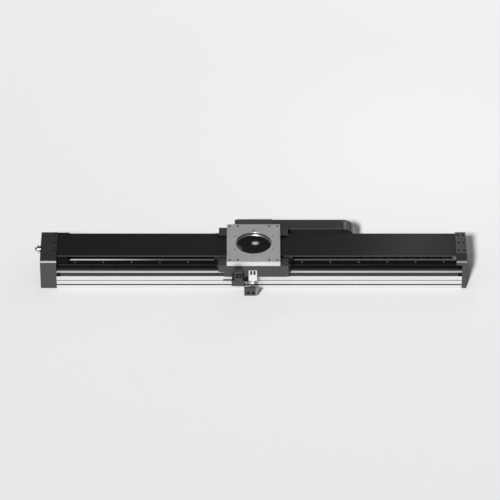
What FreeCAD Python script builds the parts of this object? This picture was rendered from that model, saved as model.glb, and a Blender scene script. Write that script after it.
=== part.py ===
import FreeCAD, Part
import math
import os
from types import SimpleNamespace

import Sketcher

# Every driving size, in millimetres: alias, value, meaning.
SIZES = [
    ("module_length", 900, "length over both ends"),
    ("module_width", 120, "width over the side walls"),
    ("end_height", 75, "height of the end plates"),
    ("end_flat_half", 37.5, "half width of the flat on top of the ends"),
    ("end_slope_half", 51.85, "half width at the foot of the sloped shoulder"),
    ("end_slope_height", 71.03, "height at the foot of the sloped shoulder"),
    ("end_wall_height", 60.4, "height of the upright side of the ends"),
    ("end_edge_radius", 11, "round between shoulder and upright side"),
    ("end_rear_height", 56, "height of the upright rear side of the ends"),
    ("housing_depth", 24.1, "length of the connector housing"),
    ("plate_thickness", 10, "thickness of each end plate"),
    ("clamp_depth", 12, "length of the cover clamp"),
    ("clamp_slot_depth", 6, "how far the cover reaches into its clamp"),
    ("top_hole_radius", 2.75, "holes in the top of the ends"),
    ("top_hole_depth", 10, "depth of the holes in the top of the ends"),
    ("top_hole_pitch", 27, "spacing of the holes in the top of the ends"),
    ("wall_height", 40, "height of the rail seats"),
    ("lip_height", 42.8, "top of the lip outside each clamp strip"),
    ("lip_foot", 41.4, "foot of the bevel on the lip"),
    ("lip_bevel", 3.4, "width of the bevel on the lip"),
    ("lip_inner", 56.2, "inner face of the lip from the centre line"),
    ("channel_half", 28, "half width of the magnet channel"),
    ("channel_floor", 20, "height of the magnet channel floor"),
    ("strip_low", 31, "underside of the side strip"),
    ("strip_high", 40.9, "top of the side strip"),
    ("strip_depth", 2.6, "depth of the channel for the side strip"),
    ("strip_setback", 0.8, "side strip behind the wall face"),
    ("upper_groove_height", 20.2, "centre height of the upper groove"),
    ("upper_groove_width", 1.6, "mouth of the upper groove"),
    ("upper_groove_depth", 3, "depth of the upper groove"),
    ("lower_groove_height", 9.2, "centre height of the lower groove"),
    ("lower_groove_width", 3.2, "mouth of the lower groove"),
    ("lower_groove_depth", 6, "depth of the lower groove"),
    ("slot_seal_setback", 0.5, "seal strip behind the mouth of a groove"),
    ("slot_seal_depth", 2, "depth of the seal strips"),
    ("fixing_spacing", 720, "spacing of the base fixing holes along the stage"),
    ("fixing_width", 90, "spacing of the base fixing holes across the stage"),
    ("fixing_radius", 2.5, "base fixing holes"),
    ("fixing_depth", 12, "depth of the base fixing holes"),
    ("rail_centre", 38, "distance of each rail from the centre line"),
    ("rail_width", 20, "width of the guide rail"),
    ("rail_height", 13, "height of the guide rail"),
    ("rail_gap", 2, "rail end to end plate"),
    ("rail_pitch", 60, "spacing of the rail screws"),
    ("rail_screw_count", 14, "screws in each rail"),
    ("rail_bore_radius", 4.75, "counterbore of the rail screws"),
    ("rail_bore_depth", 6, "depth of the rail counterbore"),
    ("screw_head_radius", 4.25, "rail and plate screw heads"),
    ("screw_head_height", 5, "rail and plate screw heads"),
    ("clamp_strip_width", 8, "width of the rail clamp strip"),
    ("clamp_strip_height", 8, "height of the rail clamp strip"),
    ("clamp_screw_count", 17, "screws in each clamp strip"),
    ("clamp_screw_margin", 22, "first clamp screw from the strip end"),
    ("clamp_screw_radius", 1.9, "holes in the clamp strip"),
    ("scale_width", 4.2, "width of the encoder scale"),
    ("scale_thickness", 0.3, "thickness of the encoder scale"),
    ("yoke_half", 27.8, "half width of the magnet yoke"),
    ("yoke_thickness", 8, "thickness of the magnet yoke"),
    ("yoke_left", 21, "yoke end from the left end plate"),
    ("pole_pitch", 24, "spacing of the magnets"),
    ("magnet_count", 34, "magnets on the yoke"),
    ("magnet_length", 20, "magnet size along the stage"),
    ("magnet_width", 36, "magnet size across the stage"),
    ("magnet_height", 5, "magnet thickness"),
    ("air_gap", 1, "magnets to forcer"),
    ("cover_half", 40, "half width of the cover strip"),
    ("cover_top", 70, "height of the cover strip"),
    ("cover_thickness", 2, "thickness of the cover strip"),
    ("travel", 300, "carriage travel each way"),
    ("bumper_radius", 4, "rubber bumpers and stop posts"),
    ("bumper_length", 7.8, "length of the rubber bumpers"),
    ("bumper_offset", 25, "bumpers from the centre line"),
    ("bumper_height", 63.5, "height of the bumper axes"),
    ("saddle_half", 83, "half length of the saddle under the cover"),
    ("saddle_low", 60, "underside of the saddle"),
    ("saddle_thickness", 6, "thickness of the saddle"),
    ("wing_half", 73.5, "half length of the beams"),
    ("beam_front", 81.5, "front face of the front beam"),
    ("beam_depth", 12.5, "thickness of the front beam"),
    ("beam_low", 46, "underside of the front beam"),
    ("beam_notch_height", 58, "underside of the notch in the front beam"),
    ("beam_notch_width", 12, "width of the notch in the front beam"),
    ("beam_corner", 6, "round on the lower right of the front beam"),
    ("rear_edge", 53.7, "rear face of the rear beam"),
    ("rear_post", 43, "inner face of the rear beam"),
    ("rear_flange", 27.7, "front edge of the rear flange"),
    ("flange_thickness", 2, "thickness of the rear flange"),
    ("payload_length", 112.6, "payload plate along the stage"),
    ("payload_width", 133.3, "payload plate across the stage"),
    ("payload_low", 75, "underside of the payload plate"),
    ("payload_thickness", 11, "thickness of the payload plate"),
    ("payload_offset", 15.65, "payload plate centre in front of the centre line"),
    ("bore_radius", 37.5, "pilot bore in the payload plate"),
    ("bore_depth", 7.2, "depth of the pilot bore"),
    ("bore_round", 0.8, "round on the rim of the pilot bore"),
    ("seat_radius", 36.9, "seat of the bore cover"),
    ("dish_depth", 4.8, "hollow of the bore cover"),
    ("circle_radius", 46, "radius of the six hole circle"),
    ("circle_hole_radius", 1.65, "holes on the circle"),
    ("grid_hole_radius", 2.5, "holes along the plate edges"),
    ("grid_outer", 50, "outer edge holes from the plate centre"),
    ("grid_inner", 33, "inner edge holes from the plate centre"),
    ("grid_row", 60, "edge hole rows from the plate centre"),
    ("runner_width", 34, "width of a runner block"),
    ("runner_length", 55, "length of a runner block"),
    ("runner_low", 48.6, "underside of a runner block"),
    ("runner_clearance", 0.4, "runner block to rail"),
    ("runner_centre", 50, "runner block from the carriage centre"),
    ("seal_length", 5.5, "length of a runner end seal"),
    ("forcer_half", 78, "half length of the forcer"),
    ("forcer_width", 40, "width of the forcer"),
    ("head_length", 30, "encoder read head along the stage"),
    ("chain_front", 62.8, "front side of the cable chain"),
    ("chain_width", 34.4, "width of the cable chain"),
    ("chain_top", 65, "top of the cable chain"),
    ("chain_height", 16, "height of a chain link"),
    ("chain_wall", 2.5, "wall of a chain link"),
    ("chain_radius", 27.5, "outer radius of the chain bend"),
    ("chain_end", -40, "free ends of both chain runs"),
    ("chain_bend_start", 189.5, "start of the chain bend"),
    ("chain_link_count", 14, "links in each straight run"),
    ("chain_bend_links", 5, "links in the bend"),
    ("chain_link_gap", 0.4, "gap between links"),
    ("tray_thickness", 2, "chain tray sheet"),
    ("tray_left", -70, "left end of the chain tray"),
    ("tray_right", 372, "right end of the chain tray"),
    ("bracket_sheet", 1.5, "sheet of the moving chain bracket"),
    ("socket_radius", 8, "round socket"),
    ("socket_length", 9, "round socket standing out of its housing"),
    ("socket_y", 13, "round socket behind the centre line"),
    ("socket_z", 48, "height of the round socket"),
]


def as_size(value):
    """Give a plain number the same form as a sheet size."""
    return value if isinstance(value, Size) else Size(value, "(%.6f)" % value)


class Size:
    """A length together with the sheet formula that gives it."""

    def __init__(self, value, formula):
        self.value = float(value)
        self.formula = formula

    def __add__(self, other):
        other = as_size(other)
        return Size(self.value + other.value, "(%s + %s)" % (self.formula, other.formula))

    def __sub__(self, other):
        other = as_size(other)
        return Size(self.value - other.value, "(%s - %s)" % (self.formula, other.formula))

    def __mul__(self, other):
        other = as_size(other)
        return Size(self.value * other.value, "(%s * %s)" % (self.formula, other.formula))

    def __truediv__(self, other):
        other = as_size(other)
        return Size(self.value / other.value, "(%s / %s)" % (self.formula, other.formula))

    def __radd__(self, other):
        return as_size(other) + self

    def __rsub__(self, other):
        return as_size(other) - self

    def __rmul__(self, other):
        return as_size(other) * self

    def __neg__(self):
        return Size(-self.value, "(0 - %s)" % self.formula)


doc = FreeCAD.newDocument("linear_motor_stage")
sheet = doc.addObject("Spreadsheet::Sheet", "sizes")
for row, (alias, number, meaning) in enumerate(SIZES, start=1):
    sheet.set("A%d" % row, meaning)
    sheet.set("B%d" % row, str(number))
    sheet.setAlias("B%d" % row, alias)
doc.recompute()
s = SimpleNamespace(**{alias: Size(number, "sizes." + alias) for alias, number, meaning in SIZES})

PLANES = {"X": "YZ_Plane", "Y": "XZ_Plane", "Z": "XY_Plane"}
pieces = []


def piece(name):
    """Start one named piece of the stage."""
    body = doc.addObject("PartDesign::Body", name)
    body.Label = name
    pieces.append(body)
    return body


def datum(body, role):
    """Find one of the body's own origin planes or axes."""
    return next(part for part in body.Origin.OriginFeatures if part.Role == role)


def bind(item, prop, size):
    """Drive a property from the sheet."""
    item.setExpression(prop, as_size(size).formula)


def fix(sketch, kind, places, size):
    """Add one dimension to a sketch and drive it from the sheet."""
    size = as_size(size)
    number = sketch.addConstraint(Sketcher.Constraint(kind, *places, size.value))
    name = "d%d" % number
    sketch.renameConstraint(number, name)
    sketch.setExpression("Constraints." + name, size.formula)


def arc_between(start, end, radius):
    """Arc from start to end, turning left for a positive radius, right for a negative one."""
    chord = end - start
    half = chord.Length / 2
    rise = math.sqrt(max(radius * radius - half * half, 0.0))
    left = FreeCAD.Vector(-chord.y, chord.x, 0).normalize()
    centre = (start + end) / 2 + left * math.copysign(rise, radius)
    first, last = (start, end) if radius > 0 else (end, start)
    angles = [math.atan2(point.y - centre.y, point.x - centre.x) for point in (first, last)]
    circle = Part.Circle(centre, FreeCAD.Vector(0, 0, 1), abs(radius))
    return Part.ArcOfCircle(circle, angles[0], angles[1])


def draw_outline(sketch, corners):
    """Closed outline: each corner is (x, y), or (x, y, radius) when an arc leads to it."""
    corners = [tuple(as_size(part) for part in corner) for corner in corners]
    points = [FreeCAD.Vector(corner[0].value, corner[1].value, 0) for corner in corners]
    edges = []
    for index, corner in enumerate(corners):
        start, end = points[index - 1], points[index]
        if len(corner) == 3:
            turn = corner[2].value
            edge = sketch.addGeometry(arc_between(start, end, turn))
            ends = (1, 2) if turn > 0 else (2, 1)
        else:
            edge = sketch.addGeometry(Part.LineSegment(start, end))
            ends = (1, 2)
        edges.append((edge, ends, corner))
    for index, (edge, ends, corner) in enumerate(edges):
        before, before_ends, _ = edges[index - 1]
        sketch.addConstraint(Sketcher.Constraint("Coincident", before, before_ends[1], edge, ends[0]))
    for edge, ends, corner in edges:
        fix(sketch, "DistanceX", (-1, 1, edge, ends[1]), corner[0])
        fix(sketch, "DistanceY", (-1, 1, edge, ends[1]), corner[1])
        if len(corner) == 3:
            fix(sketch, "Radius", (edge,), corner[2] if corner[2].value > 0 else -corner[2])


def draw_circle(sketch, x, y, radius):
    """Circle with its centre and radius driven from the sheet."""
    x, y, radius = as_size(x), as_size(y), as_size(radius)
    centre = FreeCAD.Vector(x.value, y.value, 0)
    edge = sketch.addGeometry(Part.Circle(centre, FreeCAD.Vector(0, 0, 1), radius.value))
    fix(sketch, "Radius", (edge,), radius)
    fix(sketch, "DistanceX", (-1, 1, edge, 3), x)
    fix(sketch, "DistanceY", (-1, 1, edge, 3), y)


def sketch_on(body, axis, loops, height):
    """Sketch across an axis at a height along it; a tuple is a circle, a list an outline."""
    sketch = body.newObject("Sketcher::SketchObject", body.Name + "_sketch")
    sketch.AttachmentSupport = [(datum(body, PLANES[axis]), "")]
    sketch.MapMode = "FlatFace"
    bind(sketch, "AttachmentOffset.Base.z", height)
    for loop in loops:
        if isinstance(loop, tuple):
            draw_circle(sketch, *loop)
        else:
            draw_outline(sketch, loop)
    return sketch


def add(body, axis, loops, low, high):
    """Raise loops into material from low to high along an axis."""
    low, high = as_size(low), as_size(high)
    sketch = sketch_on(body, axis, loops, -high if axis == "Y" else low)
    pad = body.newObject("PartDesign::Pad", body.Name + "_pad")
    pad.Profile = sketch
    bind(pad, "Length", high - low)
    doc.recompute()
    return pad


def cut(body, axis, loops, low, high):
    """Take material away inside loops from low to high along an axis."""
    low, high = as_size(low), as_size(high)
    before = body.Shape.Volume
    sketch = sketch_on(body, axis, loops, -low if axis == "Y" else high)
    pocket = body.newObject("PartDesign::Pocket", body.Name + "_pocket")
    pocket.Profile = sketch
    bind(pocket, "Length", high - low)
    doc.recompute()
    if not body.Shape.Volume < before - 1e-6:
        raise RuntimeError("nothing was cut from " + body.Label)
    return pocket


def repeat(body, features, axis, pitch, count):
    """Repeat features in a row along an axis."""
    pitch, count = as_size(pitch), as_size(count)
    row = body.newObject("PartDesign::LinearPattern", body.Name + "_row")
    row.Originals = features
    row.Direction = (datum(body, axis + "_Axis"), [""])
    bind(row, "Length", pitch * (count - 1))
    bind(row, "Occurrences", count)
    body.Tip = row
    doc.recompute()


def spin(body, outline, y, kind="Revolution"):
    """Turn an outline of (radius, height) about an upright axis at the given y; a Groove cuts."""
    sketch = sketch_on(body, "Y", [outline], -as_size(y))
    turned = body.newObject("PartDesign::" + kind, body.Name + "_turned")
    turned.Profile = sketch
    turned.ReferenceAxis = (sketch, ["V_Axis"])
    turned.Angle = 360
    doc.recompute()


def rectangle(low_x, high_x, low_y, high_y):
    """Outline of a rectangle, going round to the left."""
    return [(low_x, low_y), (high_x, low_y), (high_x, high_y), (low_x, high_y)]


def hexagon(x, y, radius):
    """Outline of a hexagon round a centre."""
    turns = [math.radians(60 * step) for step in range(6)]
    return [(x + radius * math.cos(turn), y + radius * math.sin(turn)) for turn in turns]


def block(name, x, y, z):
    """One box piece between low and high values on each axis."""
    body = piece(name)
    add(body, "Z", [rectangle(x[0], x[1], y[0], y[1])], z[0], z[1])


def mirrored(corners):
    """The same outline on the other side of the centre line."""
    return [(-corner[0],) + tuple(corner[1:]) for corner in reversed(corners)]


# Lines that many pieces share.
left_end = -(s.module_length / 2)
right_end = s.module_length / 2
plate_left = left_end + s.housing_depth
base_left = plate_left + s.plate_thickness
base_right = right_end - s.plate_thickness
half_width = s.module_width / 2
cover_low = s.cover_top - s.cover_thickness
clamp_left = base_right - s.clamp_depth
saddle_top = s.saddle_low + s.saddle_thickness
payload_top = s.payload_low + s.payload_thickness
rail_low = s.wall_height
rail_top = s.wall_height + s.rail_height
rail_left = base_left + s.rail_gap
rail_right = base_right - s.rail_gap
SIDES = (("front", -1), ("rear", 1))


def end_outline(low):
    """Outline of the ends above a given height: a round shoulder in front, a plain slope behind."""
    low = as_size(low)
    slope = (half_width - s.end_flat_half) / (s.end_height - s.end_rear_height)
    if low.value < s.end_rear_height.value:
        rear = [(half_width, low), (half_width, s.end_rear_height)]
    else:
        rear = [(s.end_flat_half + (s.end_height - low) * slope, low)]
    return [(-half_width, low)] + rear + [
        (s.end_flat_half, s.end_height),
        (-s.end_flat_half, s.end_height),
        (-s.end_slope_half, s.end_slope_height),
        (-half_width, s.end_wall_height, s.end_edge_radius),
    ]


def top_holes(x):
    """Three holes in a row across the top of an end piece."""
    return [(x, s.top_hole_pitch * step, s.top_hole_radius) for step in (-1, 0, 1)]


def make_base():
    """Base extrusion with its channel, strip channels, grooves and fixing holes."""
    def notch(height, width, depth):
        low, high = height - width / 2, height + width / 2
        wall, floor = half_width, half_width - depth
        return [(wall, low), (floor, low), (floor, high), (wall, high)]

    strip_middle = (s.strip_low + s.strip_high) / 2
    side = [(half_width, 0)]
    side += notch(s.lower_groove_height, s.lower_groove_width, s.lower_groove_depth)
    side += notch(s.upper_groove_height, s.upper_groove_width, s.upper_groove_depth)
    side += notch(strip_middle, s.strip_high - s.strip_low, s.strip_depth)
    side += [(half_width, s.lip_foot), (half_width - s.lip_bevel, s.lip_height)]
    side += [(s.lip_inner, s.lip_height), (s.lip_inner, s.wall_height), (s.channel_half, s.wall_height)]
    side += [(s.channel_half, s.channel_floor)]
    body = piece("base_extrusion")
    add(body, "X", [side + mirrored(side)], base_left, base_right)
    spots = [(s.fixing_spacing / 2 * a, s.fixing_width / 2 * b) for a in (-1, 1) for b in (-1, 1)]
    cut(body, "Z", [(x, y, s.fixing_radius) for x, y in spots], 0, s.fixing_depth)


def make_rails():
    """Guide rails with their screws, and the strips that clamp them sideways."""
    pitch_room = s.rail_pitch * (s.rail_screw_count - 1)
    first_screw = (rail_left + rail_right - pitch_room) / 2
    strip_pitch = (rail_right - rail_left - 2 * s.clamp_screw_margin) / (s.clamp_screw_count - 1)
    first_clamp = rail_left + s.clamp_screw_margin
    strip_top = rail_low + s.clamp_strip_height
    for side, sign in SIDES:
        middle = s.rail_centre * sign
        half = s.rail_width / 2
        profile = [
            (half, rail_low), (half, rail_low + 6.3), (half - 1.8, rail_low + 7.2),
            (half - 1.8, rail_low + 9.2), (half, rail_low + 10.1), (half, rail_top - 0.6),
            (half - 0.6, rail_top),
        ]
        outline = [(middle + y, z) for y, z in profile + mirrored(profile)]
        rail = piece(side + "_guide_rail")
        add(rail, "X", [outline], rail_left, rail_right)
        bores = cut(rail, "Z", [(first_screw, middle, s.rail_bore_radius)],
                    rail_top - s.rail_bore_depth, rail_top)
        repeat(rail, [bores], "X", s.rail_pitch, s.rail_screw_count)

        screws = piece(side + "_rail_screws")
        foot = rail_top - s.rail_bore_depth
        head_top = foot + s.screw_head_height
        head = add(screws, "Z", [(first_screw, middle, s.screw_head_radius)], foot, head_top)
        key = cut(screws, "Z", [hexagon(first_screw, middle, 2.3)], head_top - 2.5, head_top)
        repeat(screws, [head, key], "X", s.rail_pitch, s.rail_screw_count)

        inner = (s.rail_centre + half) * sign
        outer = inner + s.clamp_strip_width * sign
        low, high = (outer, inner) if sign < 0 else (inner, outer)
        strip = piece(side + "_clamp_strip")
        add(strip, "X", [rectangle(low, high, rail_low, strip_top)], rail_left, rail_right)
        centre = (low + high) / 2
        hole = cut(strip, "Z", [(first_clamp, centre, s.clamp_screw_radius)], strip_top - 4, strip_top)
        repeat(strip, [hole], "X", strip_pitch, s.clamp_screw_count)

        pins = piece(side + "_clamp_screws")
        pin = add(pins, "Z", [hexagon(first_clamp, centre, s.clamp_screw_radius - 0.3)],
                  strip_top - 4, strip_top - 1.5)
        repeat(pins, [pin], "X", strip_pitch, s.clamp_screw_count)

    scale_inner = -(s.rail_centre - s.rail_width / 2) - 0.7
    block("encoder_scale", (rail_left, rail_right), (scale_inner - s.scale_width, scale_inner),
          (rail_top, rail_top + s.scale_thickness))


def make_magnets():
    """Magnet yoke in the channel, its magnets and the screws along its edges."""
    left = base_left + s.yoke_left
    right = left + s.pole_pitch * s.magnet_count
    yoke_top = s.channel_floor + s.yoke_thickness
    magnet_top = yoke_top + s.magnet_height
    block("magnet_yoke", (left, right), (-s.yoke_half, s.yoke_half), (s.channel_floor, yoke_top))
    magnets = piece("magnets")
    start = left + (s.pole_pitch - s.magnet_length) / 2
    outline = rectangle(start, start + s.magnet_length, -(s.magnet_width / 2), s.magnet_width / 2)
    first = add(magnets, "Z", [outline], yoke_top, magnet_top)
    repeat(magnets, [first], "X", s.pole_pitch, s.magnet_count)
    screws = piece("yoke_screws")
    heads = [(left + 24, 23.5 * sign, 3.4) for _, sign in SIDES]
    keys = [hexagon(left + 24, 23.5 * sign, 1.7) for _, sign in SIDES]
    head = add(screws, "Z", heads, yoke_top, yoke_top + 3)
    key = cut(screws, "Z", keys, yoke_top + 1.2, yoke_top + 3)
    repeat(screws, [head, key], "X", 96, 9)
    return magnet_top


def make_ends():
    """End plates, connector housing with its socket, cover clamp and cover."""
    left_plate = piece("left_end_plate")
    add(left_plate, "X", [end_outline(0)], plate_left, base_left)
    middle = (plate_left + base_left) / 2
    cut(left_plate, "Z", top_holes(middle), s.end_height - s.top_hole_depth, s.end_height)

    right_plate = piece("right_end_plate")
    add(right_plate, "X", [end_outline(0)], base_right, right_end)
    middle = (base_right + right_end) / 2
    cut(right_plate, "Z", top_holes(middle), s.end_height - s.top_hole_depth, s.end_height)
    spots = [(44 * sign, z) for sign in (-1, 1) for z in (9, 28)] + [(-32, 66), (32, 66)]
    seat = right_end - 5.5
    cut(right_plate, "X", [(y, z, s.rail_bore_radius) for y, z in spots], seat, right_end)
    screws = piece("right_plate_screws")
    add(screws, "X", [(y, z, s.screw_head_radius) for y, z in spots], seat, seat + s.screw_head_height)
    for y, z in spots:
        cut(screws, "X", [hexagon(y, z, 2.3)], seat + 2.5, seat + s.screw_head_height)

    housing = piece("connector_housing")
    add(housing, "X", [end_outline(0)], left_end, plate_left)
    cut(housing, "X", [rectangle(-50, 50, 6, 58)], left_end + 4, plate_left)

    shell = piece("round_socket_shell")
    face = left_end - s.socket_length
    add(shell, "X", [(s.socket_y, s.socket_z, s.socket_radius)], face, left_end)
    cut(shell, "X", [(s.socket_y, s.socket_z, s.socket_radius - 1.5)], face, face + 6)
    insert = piece("round_socket_insert")
    add(insert, "X", [(s.socket_y, s.socket_z, s.socket_radius - 1.8)], face + 1, face + 6)
    add(insert, "X", [(s.socket_y, s.socket_z, 4.2)], face - 5, face + 1)

    clamp = piece("cover_clamp")
    add(clamp, "X", [end_outline(s.end_wall_height - 0.4)], clamp_left, base_right)
    middle = (clamp_left + base_right) / 2
    cut(clamp, "Z", top_holes(middle), s.end_height - 4.5, s.end_height)
    slot = rectangle(-s.cover_half - 0.1, s.cover_half + 0.1, cover_low - 0.05, s.cover_top + 0.05)
    cut(clamp, "X", [slot], clamp_left, clamp_left + s.clamp_slot_depth)

    block("cover_strip", (base_left, clamp_left + s.clamp_slot_depth - 0.5),
          (-s.cover_half, s.cover_half), (cover_low, s.cover_top))


def make_stops():
    """What the carriage runs up against at both ends of its travel."""
    reach = s.travel + s.saddle_half + 0.2
    ends = [(s.bumper_offset * sign, s.bumper_height, s.bumper_radius) for _, sign in SIDES]
    bumper_back = reach + s.bumper_length
    block("left_stop_block", (base_left, -bumper_back), (-46, 46), (rail_top + 1, cover_low))
    add(piece("left_bumpers"), "X", ends, -bumper_back, -reach)
    add(piece("right_bumpers"), "X", ends, reach, bumper_back)
    add(piece("right_stop_posts"), "X", ends, bumper_back, clamp_left)


def make_groove_strips():
    """Strips in the side channels with a plug at each end, and seals in the grooves."""
    plug_length = 8
    plug_gap = 0.5
    strip_left = base_left + plug_length + 2 * plug_gap
    strip_right = base_right - plug_length - 2 * plug_gap
    floor = half_width - s.strip_depth
    face = half_width - s.strip_setback
    plugs = piece("groove_end_plugs")
    for side, sign in SIDES:
        low, high = (-face, -floor) if sign < 0 else (floor, face)
        strip = piece(side + "_groove_strip")
        add(strip, "X", [rectangle(low, high, s.strip_low, s.strip_high)], strip_left, strip_right)
        seals = piece(side + "_slot_seals")
        mouth = half_width - s.slot_seal_setback
        back = mouth - s.slot_seal_depth
        near, far = (-mouth, -back) if sign < 0 else (back, mouth)
        for height, width in ((s.upper_groove_height, s.upper_groove_width),
                              (s.lower_groove_height, s.lower_groove_width)):
            add(seals, "X", [rectangle(near, far, height - width / 2, height + width / 2)],
                base_left + plug_gap, base_right - plug_gap)
        proud = half_width + 0.6
        near, far = (-proud, -floor) if sign < 0 else (floor, proud)
        for start in (base_left + plug_gap, base_right - plug_gap - plug_length):
            add(plugs, "X", [rectangle(near, far, s.strip_low + 0.2, s.strip_high - 0.2)],
                start, start + plug_length)


def make_carriage(magnet_top):
    """Saddle, beams, payload plate, runner blocks, forcer and read head."""
    saddle = piece("saddle_plate")
    front = s.beam_front - s.beam_depth
    wing, long_half, inner = s.wing_half, s.saddle_half, 38
    right_half = [
        (wing, -front), (wing, -inner), (long_half, -inner), (long_half, inner), (wing, inner),
        (wing, s.rear_edge),
    ]
    add(saddle, "Z", [right_half + mirrored(right_half)], s.saddle_low, saddle_top)
    spots = [(x * a, s.rail_centre * b) for x in (38, 62) for a in (-1, 1) for b in (-1, 1)]
    cut(saddle, "Z", [(x, y, 4) for x, y in spots], saddle_top - 4, saddle_top)
    screws = piece("runner_screws")
    add(screws, "Z", [(x, y, 3.5) for x, y in spots], saddle_top - 4, saddle_top - 0.2)
    for x, y in spots:
        cut(screws, "Z", [hexagon(x, y, 1.9)], saddle_top - 2.2, saddle_top - 0.2)

    beam = piece("front_beam")
    notch_x = -wing + s.beam_notch_width
    outline = [
        (-wing, s.payload_low), (-wing, s.beam_notch_height), (notch_x, s.beam_notch_height),
        (notch_x, s.beam_low), (wing - s.beam_corner, s.beam_low),
        (wing, s.beam_low + s.beam_corner, s.beam_corner), (wing, s.payload_low),
    ]
    add(beam, "Y", [outline], -s.beam_front, -front)

    rear = piece("rear_beam")
    flange_low = s.payload_low - s.flange_thickness
    outline = [
        (s.rear_post, saddle_top), (s.rear_edge, saddle_top), (s.rear_edge, s.payload_low),
        (s.rear_flange, s.payload_low), (s.rear_flange, flange_low), (s.rear_post, flange_low),
    ]
    add(rear, "X", [outline], -wing, wing)

    plate = piece("payload_plate")
    middle = -s.payload_offset
    half_x, half_y = s.payload_length / 2, s.payload_width / 2
    add(plate, "Z", [rectangle(-half_x, half_x, middle - half_y, middle + half_y)],
        s.payload_low, payload_top)
    cut(plate, "Z", [(0, middle, s.seat_radius)], s.payload_low, payload_top)
    cut(plate, "Z", [(0, middle, s.bore_radius)], payload_top - s.bore_depth, payload_top)
    turns = [math.radians(30 + 60 * step) for step in range(6)]
    circle = [(s.circle_radius * math.cos(t), middle + s.circle_radius * math.sin(t),
               s.circle_hole_radius) for t in turns]
    edges = [(x * a, middle + s.grid_row * b, s.grid_hole_radius)
             for x in (s.grid_outer, s.grid_inner) for a in (-1, 1) for b in (-1, 1)]
    cut(plate, "Z", circle, s.payload_low, payload_top)
    cut(plate, "Z", edges, s.payload_low, payload_top)
    inside, above = s.bore_radius - 1, payload_top + 1
    spin(plate, [
        (s.bore_radius, payload_top - s.bore_round),
        (s.bore_radius + s.bore_round, payload_top, -s.bore_round),
        (s.bore_radius + s.bore_round, above), (inside, above), (inside, payload_top - s.bore_round),
    ], middle, "Groove")

    dish = piece("bore_cover")
    rim_top = payload_top - s.bore_depth
    rim = s.seat_radius - 0.05
    lip = rim - 0.8
    hollow = rim_top - s.dish_depth
    curve = (lip.value ** 2 + s.dish_depth.value ** 2) / (2 * s.dish_depth.value)
    under = (rim.value ** 2 + 4.2 ** 2) / (2 * 4.2)
    outline = [
        (0, hollow - 1.5), (rim, hollow + 2.7, under), (rim, rim_top), (lip, rim_top),
        (0, hollow, -curve),
    ]
    spin(dish, outline, middle)

    half = s.runner_width / 2
    slot = s.rail_width / 2 + s.runner_clearance
    ceiling = rail_top + 1.6

    def runner_outline(centre, grow):
        points = [
            (slot - grow, s.runner_low + grow), (half - grow, s.runner_low + grow),
            (half - grow, s.saddle_low - grow), (grow - half, s.saddle_low - grow),
            (grow - half, s.runner_low + grow), (grow - slot, s.runner_low + grow),
            (grow - slot, ceiling - grow), (slot - grow, ceiling - grow),
        ]
        return [(centre + y, z) for y, z in points]

    for side, sign in SIDES:
        for end, way in (("left", -1), ("right", 1)):
            runner = piece("runner_block_%s_%s" % (side, end))
            start = s.runner_centre * way - s.runner_length / 2
            add(runner, "X", [runner_outline(s.rail_centre * sign, 0)], start, start + s.runner_length)
    seals = piece("runner_end_seals")
    loops = [runner_outline(s.rail_centre * sign, 0.15) for _, sign in SIDES]
    for way in (-1, 1):
        start = s.runner_centre * way - s.runner_length / 2
        add(seals, "X", loops, start - s.seal_length, start)
        add(seals, "X", loops, start + s.runner_length, start + s.runner_length + s.seal_length)

    forcer = piece("forcer")
    low = magnet_top + s.air_gap
    add(forcer, "Z", [rectangle(-s.forcer_half, s.forcer_half, -(s.forcer_width / 2), s.forcer_width / 2)],
        low, s.saddle_low)
    first = 6 - s.forcer_half
    tooth_gap = cut(forcer, "Y", [rectangle(first, first + 3, low, low + 2)],
                    -(s.forcer_width / 2), s.forcer_width / 2)
    repeat(forcer, [tooth_gap], "X", s.pole_pitch * 0.75, 9)

    scale_middle = -(s.rail_centre - s.rail_width / 2) - 0.7 - s.scale_width / 2
    block("encoder_read_head", (-(s.head_length / 2), s.head_length / 2),
          (scale_middle - 6, scale_middle + 6), (rail_top + 1.1, s.saddle_low))


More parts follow.
